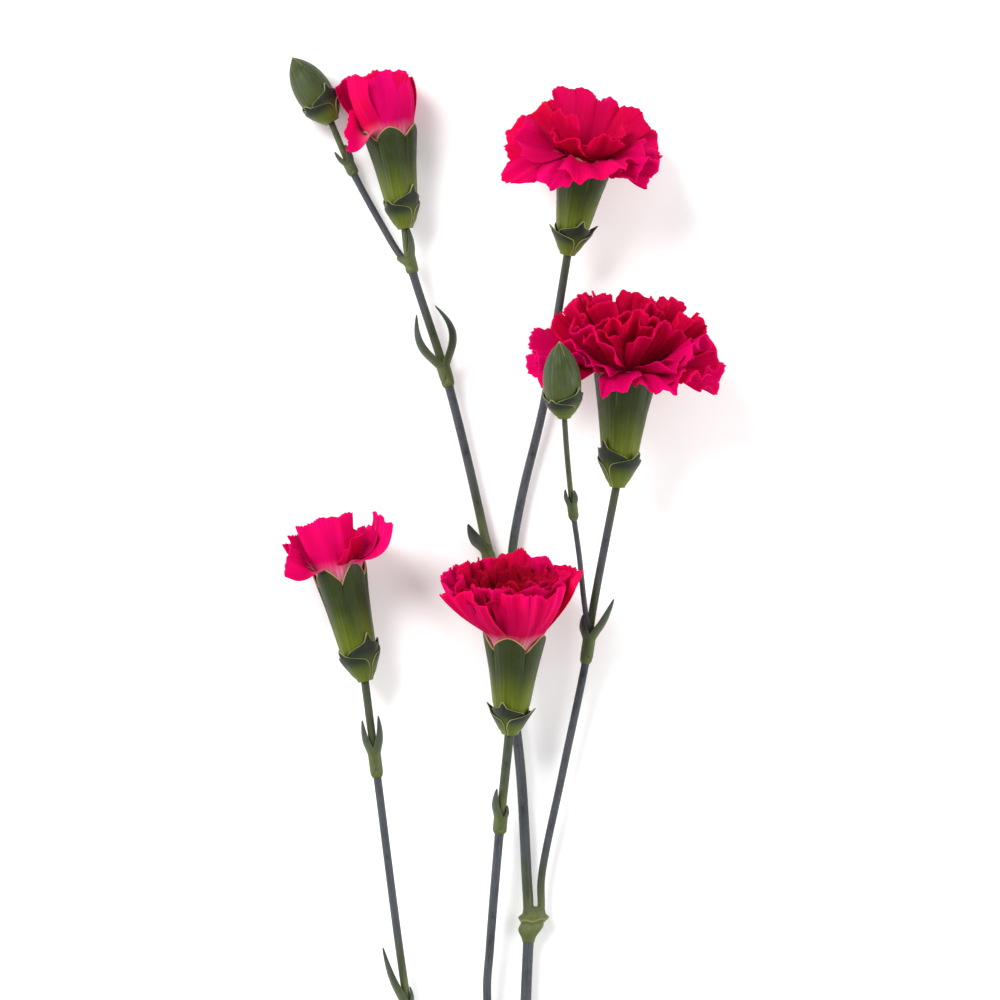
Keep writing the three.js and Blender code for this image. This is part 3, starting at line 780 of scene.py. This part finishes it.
def build_bud(name, spec):
    """A closed calyx: the egg, with five seams between its teeth that show near the tip."""
    seat = Seat(spec)
    size = spec["size"]
    v = np.linspace(0, 1, BUD_GRID[0])[:, None]
    angle = np.linspace(0, 2 * np.pi, BUD_GRID[1], endpoint=False)[None]
    swirl = angle + 0.6 * v
    apart = np.abs(((swirl * CALYX_TEETH / (2 * np.pi) + 0.25) % 1) - 0.5) * 2
    groove = np.exp(-(((1 - apart) / 0.12) ** 2)) * ease(v, 0.5, 0.75)
    height = v * size[0]
    radius = bud_radius(size, height) * (1 - 0.1 * groove) + 0.025 * np.cos(25 * angle)
    radius = np.maximum(radius * np.sqrt(np.clip(1 - v**14, 0, 1)), 0.05)
    edge = (1 - apart) * np.pi / CALYX_TEETH * radius + 0.1 + 3 * (1 - ease(v, 0.6, 0.85))
    edge = np.where(v > 0.975, 0.0, edge)
    points = seat.around(radius, height, angle)
    grid_mesh(f"{name}_skin", points, BUD, [name], wrap=True, caps=True,
              attributes={"high": v * 0.9, "edge": edge})


def build_bract(name, node, spec, radius_at, angle0, length, offset, spread):
    """One bract: a hollow scale wrapped on the calyx, drawn out to a sharp dark tip.

    Across is u, along is v; the half width is that of an oval, sqrt(1 - ((v - a) / b)^2), which
    runs over a concave shoulder into a narrow point in its last quarter.
    """
    seat = Seat(spec)
    v = np.linspace(0, 1, BRACT_GRID[0])[:, None]
    u = np.linspace(-1, 1, BRACT_GRID[1])[None]
    oval = np.sqrt(np.clip(1 - ((v - 0.25) / 0.68) ** 2, 0, 1))
    point = 0.22 * np.clip((1 - v) / 0.3, 0, 1) ** 0.9
    width = np.maximum(oval * (1 - ease(v, 0.62, 0.92)), point * ease(v, 0.4, 0.75)) + 0.01
    width = np.where(v < 0.25, 1.0, width)
    angle = angle0 + u * BRACT_HALF_ANGLE * width
    height = v * length - 0.25
    lift = offset * ease(v, 0, 0.25) + spread * v**3 + 0.25 * (1 - u**2) * ease(v, 0.15, 0.6)
    radius = radius_at(np.maximum(height, 0)) + lift + 0.16
    points = seat.around(radius, height, angle)
    points[..., 2] = np.maximum(points[..., 2], 0.15)
    edge = (1 - np.abs(u)) * width * BRACT_HALF_ANGLE * radius * 0.9
    edge = np.minimum(edge, (1 - v) * length * 2 + 0.2)
    grid_mesh(name, points, BRACT, [node], attributes={"high": v, "edge": edge + 0 * u},
              wall=BRACT_WALL)


def build_bracts(name, spec, radius_at, turn):
    length, spread = spec["bracts"]
    for pair, label in enumerate(("inner", "outer")):
        for side in (0, 1):
            angle0 = turn + pair * math.pi / 2 + side * math.pi + 0.12 * side
            reach = length * (1.0 if pair == 0 else 0.78) * (1 - 0.06 * side)
            build_bract(f"bract_{label}_{name}_{side + 1}", f"bracts_{label}_{name}", spec, radius_at,
                        angle0, reach, 0.15 + 0.3 * pair, spread * (1 + pair))


# Where the first bract and the first calyx tooth stand about the axis, in radians.
BRACT_TURNS = {"top_left": 0.75, "top_right": 0.4, "right": -0.8, "front": -0.4, "left": 0.6,
               "bud_top_left": 0.7, "bud_right": 0.9}
FIRST_TOOTH = {"top_left": 0.0, "top_right": -0.3, "right": 0.3, "front": -0.2, "left": 0.63}

for flower_name, flower in FLOWERS.items():
    build_calyx(flower_name, flower, FIRST_TOOTH[flower_name])
    build_bracts(flower_name, flower, lambda h, c=flower["calyx"]: calyx_radius(c, h),
                 BRACT_TURNS[flower_name])

for bud_name, bud in BUDS.items():
    build_bud(bud_name, bud)
    build_bracts(bud_name, bud, lambda h, s=bud["size"]: bud_radius(s, h), BRACT_TURNS[bud_name])


# ---------------------------------------------------------------- petals

CLAW = 5.0  # length of the narrow foot inside the calyx
RING_STEP = 0.9  # how much nearer the axis each whorl grows than the one outside it


def petal_surface(seat, calyx, draw, row, shape):
    """One petal as plan points, with how far each of them is up the blade.

    Along its middle the petal leaves the calyx straight, turns to its opening angle over `bend`
    millimetres and curls on towards its edge. Across, it is a fan: its foot follows the calyx, its
    blade is wrapped about the flower's axis by `cup`, and sums of sines across the fan (one broad
    wave, pleats, fine pleats and a frill) lift it off that surface, more and more towards an edge
    that is an arc cut into small uneven teeth. `round_off` lowers the arc's corners, and `face`
    rolls a petal at the flower's side, the more the wider it opens, so that its face looks up.
    """
    whorl, angle0, opening, length, half_width, cup, curl = row
    count, bend, crinkle, teeth, face, round_off = shape
    v = np.linspace(0, 1, PETAL_GRID[0])[:, None]
    u = np.linspace(-1, 1, PETAL_GRID[1])[None]
    blade = np.clip((v * (length + CLAW) - CLAW) / length, 0, 1)
    tooth_at = u * half_width * draw.uniform(0.9, 1.15) + 0.5 * np.sin(4 * u + draw.uniform(0, 6))
    tooth = 2 * np.abs((tooth_at + draw.uniform(0, 1)) % 1 - 0.5)
    depth = 0.6 + 0.4 * np.sin(3.3 * u + draw.uniform(0, 6))
    lobes = 0.035 * np.sin(math.pi * 2.2 * u + draw.uniform(0, 6))
    tilt = draw.uniform(-0.05, 0.05) * u
    edge = length * (1 - round_off * np.abs(u) ** 2.6 + lobes + tilt)
    edge = edge - teeth * tooth * depth * ease(blade, 0.75, 1.0)
    ahead = np.where(blade > 0, blade * edge, v * (length + CLAW) - CLAW)
    grow = np.clip(ahead / length, 0, 1)

    seat_radius = calyx[3] - 0.75 - RING_STEP * (whorl - 1)
    foot_width = min(1.3 * math.pi * seat_radius / count, half_width)
    width = foot_width * (1 + np.minimum(ahead, 0) / CLAW * 0.5)
    width = width + (half_width - foot_width) * grow**0.8
    wrapped = 1 + (cup - 1) * ease(ahead, 0, 0.5 * length)

    turn = np.radians(opening)
    reach = np.linspace(-CLAW, length * 1.15, 260)
    turned = turn * ease(reach, -1.5, bend)
    turned = turned + np.radians(curl) * np.clip((reach - bend) / (length - bend), 0, None) ** 1.5
    step = reach[1] - reach[0]
    out = np.cumsum(np.sin(turned)) * step
    rise = np.cumsum(np.cos(turned)) * step
    zero = np.searchsorted(reach, 0.0)
    slope = np.interp(ahead, reach, turned)
    claw_in = np.where(ahead < 0, -0.15 * ahead, 0)
    radius = seat_radius + np.interp(ahead, reach, out - out[zero]) - claw_in
    height = calyx[0] - 1.2 + np.interp(ahead, reach, rise - rise[zero])

    curve = wrapped / np.maximum(radius, 3.0)
    wrap = width * u * curve
    x = np.sin(wrap) / curve
    off = (np.cos(wrap) - 1) / curve
    pleats = draw.uniform(0.28, 0.40) * half_width
    lean = 0.6 * np.sin(2.5 * grow + draw.uniform(0, 6))
    fold = math.pi * pleats * u + draw.uniform(0, 6) + lean
    waves = (
        draw.uniform(1.0, 1.8) * grow**1.4
        * np.sin(math.pi * draw.uniform(0.8, 1.4) * u + draw.uniform(0, 6))
        + draw.uniform(0.7, 1.1) * grow**1.1 * (np.sin(fold) + 0.25 * np.sin(2 * fold + 1))
        + 0.26 * grow**2.5 * np.sin(draw.uniform(2.1, 2.6) * fold + draw.uniform(0, 6))
        + 0.12 * grow**6 * np.sin(5.2 * fold + draw.uniform(0, 6))
    )
    off = off + crinkle * waves
    x = x + crinkle * 0.5 * grow * np.cos(fold)
    lean_over = face * math.sin(angle0) * float(ease(opening, 15, 50))
    roll = (draw.uniform(-0.2, 0.2) * crinkle - lean_over) * ease(grow, 0, 0.7)
    x, off = x * np.cos(roll) - off * np.sin(roll), off * np.cos(roll) + x * np.sin(roll)
    side_turn = draw.uniform(-0.1, 0.1)
    x = x + side_turn * np.maximum(ahead, 0)

    radial = radius + off * np.cos(slope)
    height = height - off * np.sin(slope)
    px = radial * math.sin(angle0) + x * math.cos(angle0)
    pz = radial * math.cos(angle0) - x * math.sin(angle0)
    return press(seat.place(px, height, pz)), ahead


def ring(number, count, first, opening, length, half_width, cup, curl):
    """Rows for the table below: petals of one size set evenly around the axis."""
    step = 2 * math.pi / count
    return [(number, first + k * step, opening, length, half_width, cup, curl)
            for k in range(count)]


# Every petal is (whorl, angle, opening, length, half width, cup, curl): angles about the axis in
# radians from straight up, opening and curl in degrees. A flower's own values are
#   pink     how much pinker the side petals of its two outer whorls are
#   seed     the start of its random draws
#   count    how many petals share the calyx mouth, which sets the width of their feet
#   bend     millimetres over which a petal turns to its opening angle
#   crinkle  strength of the waves, and teeth the depth of the cuts in the edge
#   face     radians that side petals roll so that their faces look up
#   corner   share of its length that a petal loses at its corners
#   deep     how strongly painted shade darkens the petals in the heart of the flower
#   sway     degrees that the petals on one side open more, and the angle of that side
PETALS = {
    "right": dict(pink=0.45, seed=11, count=9, bend=3.5, crinkle=1.15, teeth=0.5, face=0.5, corner=0.26,
                  deep=0.62, sway=(0, 0), rows=[
        (1, -1.75, 86, 16.5, 9.0, 0.2, 16), (1, -1.15, 88, 16.0, 8.5, 0.2, 18),
        (1, -0.6, 80, 13.5, 8.0, 0.3, 6), (1, 0.0, 88, 14.5, 5.5, 0.3, 44),
        (1, 0.4, 86, 14.0, 6.5, 0.3, 42), (1, 1.0, 84, 14.6, 8.0, 0.2, 14),
        (1, 1.5, 86, 16.4, 8.5, 0.2, 22), (1, 2.3, 82, 13.5, 8.5, 0.2, 10),
        (1, 3.2, 78, 18.0, 9.0, 0.2, 10), (1, 4.0, 80, 17.5, 9.0, 0.2, 10),
        (2, -1.5, 72, 18.0, 8.5, 0.3, 10), (2, -0.8, 66, 16.0, 8.5, 0.35, 4),
        (2, 0.75, 62, 16.5, 8.5, 0.35, 6), (2, 1.55, 72, 16.0, 8.0, 0.3, 12),
        *ring(2, 4, 2.55, 58, 17.2, 8.5, 0.35, 6), (3, -0.25, 34, 17.0, 9.5, 0.45, 8),
        *ring(3, 6, 0.5, 44, 17.2, 8.5, 0.5, 8), *ring(3, 5, 0.0, 34, 18.5, 8.0, 0.5, 8),
        *ring(4, 5, 0.2, 20, 19.0, 7.0, 0.7, 10), *ring(4, 3, 0.9, 9, 18.5, 6.0, 0.8, 10),
    ]),
    "top_right": dict(pink=0.1, seed=23, count=7, bend=3.0, crinkle=0.85, teeth=0.5, face=0.6, corner=0.22,
                      deep=0.7, sway=(0, 0), rows=[
        (1, 0.1, 84, 13.0, 9.0, 0.3, 34), (1, -0.55, 104, 14.0, 4.0, 0.3, 26),
        (1, -1.05, 112, 16.5, 4.2, 0.3, 18), (1, -1.6, 84, 13.5, 8.0, 0.1, 6),
        (1, 0.85, 82, 10.8, 7.0, 0.3, 14), (1, 1.5, 80, 11.6, 6.8, 0.1, 6),
        (1, 2.75, 74, 15.0, 9.0, 0.2, 4), (1, 3.9, 76, 14.0, 9.0, 0.2, 6),
        (2, -1.15, 78, 13.5, 7.5, 0.15, 4), (2, 1.0, 64, 11.4, 7.0, 0.3, 4),
        (2, 1.9, 60, 14.0, 8.0, 0.25, 10), (2, 2.9, 48, 15.5, 8.5, 0.35, 4),
        (2, 4.3, 66, 14.0, 8.5, 0.3, 8), (3, -0.5, 56, 10.0, 6.5, 0.5, 6),
        (3, 0.25, 44, 10.5, 6.5, 0.5, 0), (3, 2.3, 36, 14.5, 8.0, 0.4, 12),
        (3, 3.3, 24, 15.5, 9.0, 0.4, 10), (3, 4.4, 46, 13.0, 7.5, 0.4, 8),
        (3, 1.2, 26, 11.0, 6.0, 0.5, 8), (3, -0.9, 22, 11.5, 6.0, 0.5, 8),
    ]),
    "front": dict(pink=0.15, seed=37, count=7, bend=2.2, crinkle=0.8, teeth=0.5, face=0.1, corner=0.22,
                  deep=1.25, sway=(11, -1.7), rows=[
        *ring(1, 7, 0.12, 41, 17.0, 8.8, 0.9, -28), *ring(2, 7, 0.55, 34, 16.5, 8.8, 0.9, -20),
        *ring(3, 8, 0.1, 27, 15.5, 5.5, 0.8, 0), *ring(3, 7, 0.5, 21, 15.2, 4.8, 0.8, 8),
        *ring(4, 7, 0.2, 14, 14.8, 4.0, 0.7, 10), *ring(4, 5, 0.9, 6, 14.2, 3.6, 0.6, 10),
        (2, 3.0, 24, 17.8, 6.0, 0.8, -6),
    ]),
    "left": dict(pink=0.2, seed=41, count=5, bend=2.0, crinkle=0.45, teeth=0.45, face=0.8, corner=0.06,
                 deep=0.5, sway=(0, 0), rows=[
        (1, -0.22, 10, 13.6, 7.2, 0.6, -12), (1, -1.15, 52, 9.0, 6.2, 0.3, -10),
        (1, 1.1, 62, 13.8, 7.0, 0.3, -50), (1, -2.2, 28, 9.6, 6.5, 0.5, -18),
        (1, 2.6, 34, 9.0, 7.0, 0.7, 0), (1, 3.9, 22, 10.4, 7.0, 0.7, -10),
        (2, -0.75, 11, 11.5, 5.0, 0.7, -14), (2, 0.75, 34, 8.5, 4.5, 0.8, 0),
        (2, 3.4, 12, 11.5, 6.0, 0.8, 0), (2, 1.35, 44, 9.5, 5.5, 0.5, -24),
    ]),
    "top_left": dict(pink=0.1, seed=59, count=5, bend=1.8, crinkle=0.45, teeth=0.4, face=1.25, corner=0.12,
                     deep=0.6, sway=(7, -1.4), rows=[
        *ring(1, 5, 0.15, 20, 14.6, 9.4, 0.95, -32), *ring(2, 5, 0.8, 14, 14.2, 8.6, 0.95, -24),
        (1, -1.25, 66, 6.0, 6.0, 0.3, -8),
    ]),
}


def build_flower(name, spec):
    """Draws a flower's petals, each a little off its row in the table."""
    seat = Seat(spec)
    plan = PETALS[name]
    draw = np.random.default_rng(plan["seed"])
    amount, way = plan["sway"]
    for number, row in enumerate(plan["rows"], 1):
        node, angle, opening, length, half_width, cup, curl = row
        angle += draw.uniform(-0.08, 0.08)
        opening += amount * math.cos(angle - way) + draw.uniform(-4, 4)
        length *= draw.uniform(0.96, 1.04)
        row = (node, angle, opening, length, half_width, cup, curl + draw.uniform(-4, 4))
        shape = [plan[key] for key in ("count", "bend", "crinkle", "teeth", "face", "corner")]
        points, ahead = petal_surface(seat, spec["calyx"], draw, row, shape)
        grow = np.clip(ahead / length, 0, 1)
        # Painted shade: darker in the inner whorls and low on each blade, deep in the flower.
        deep = plan["deep"] * np.clip(0.24 * (node - 1) + 0.5 * (1 - grow) ** 1.3, 0, 0.8)
        pink = draw.uniform(0, 0.9) * (1.1 - 0.25 * (node - 1))
        pink += plan["pink"] * abs(math.sin(angle)) if node < 3 else 0
        grid_mesh(f"petal_{name}_{number}", points, PETAL, [f"petals_{name}_{node}"],
                  {"tint": pink, "blade": ahead + 1.6 * (node - 1), "deep": deep},
                  wall=PETAL_WALL)


for flower_name, flower in FLOWERS.items():
    build_flower(flower_name, flower)


# ---------------------------------------------------------------- table, light and camera

VIEW_SIDE = 225.0  # millimetres of table in view
VIEW_CENTRE = (0.0, 247.5, 12.0)
LENS = 200.0
SENSOR = 36.0
TABLE_REACH = 1.6  # metres from the table's middle to its sides
ROOM_LIGHT = 0.6

# Each lamp's name, its place and width in metres, and its power.
LAMPS = [
    ("key", (-0.7, 0.8, 1.2), 0.6, 19.0),
    ("fill", (0.9, -0.1, 1.1), 0.9, 6.0),
    ("left edge", (-1.2, 0.05, 0.35), 0.5, 9.0),
    ("right edge", (1.2, 0.05, 0.35), 0.5, 9.0),
]


def build_table():
    mesh = bpy.data.meshes.new("table")
    signs = [(-1, -1), (1, -1), (1, 1), (-1, 1)]
    corners = [(x * TABLE_REACH, y * TABLE_REACH, 0) for x, y in signs]
    mesh.from_pydata(corners, [], [(0, 1, 2, 3)])
    table = bpy.data.objects.new("table", mesh)
    bpy.context.scene.collection.objects.link(table)
    material, n, shader = new_material("pale table", 0.9, specular=0.1)
    speck = n.add("ShaderNodeTexNoise")
    speck.inputs["Scale"].default_value = 60
    n.join(n.add("ShaderNodeTexCoord").outputs["Object"], speck.inputs["Vector"])
    n.join(n.blend(speck.outputs[0], (0.93, 0.93, 0.93), (0.95, 0.95, 0.95)),
           shader.inputs["Base Color"])
    mesh.materials.append(material)


def add_lamp(name, place, aim, size, power):
    light = bpy.data.lights.new(name, "AREA")
    light.size = size
    light.energy = power
    lamp = bpy.data.objects.new(name, light)
    lamp.location = place
    lamp.rotation_euler = (Vector(aim) - Vector(place)).to_track_quat("-Z", "Y").to_euler()
    bpy.context.scene.collection.objects.link(lamp)


def build_stage():
    build_table()
    aim = to_frame(VIEW_CENTRE)
    scene = bpy.context.scene
    world = bpy.data.worlds.new("soft room")
    world.use_nodes = True
    world.node_tree.nodes["Background"].inputs[0].default_value = (1, 1, 1, 1)
    world.node_tree.nodes["Background"].inputs[1].default_value = ROOM_LIGHT
    scene.world = world
    for name, place, size, power in LAMPS:
        add_lamp(name, place, tuple(aim), size, power)
    scene.view_settings.view_transform = "Standard"
    camera = bpy.data.cameras.new("camera")
    camera.lens = LENS
    camera.sensor_width = SENSOR
    camera.clip_end = 20
    eye = bpy.data.objects.new("camera", camera)
    eye.location = (aim[0], aim[1], aim[2] + VIEW_SIDE * MM * LENS / SENSOR)
    scene.collection.objects.link(eye)
    scene.camera = eye


build_stage()
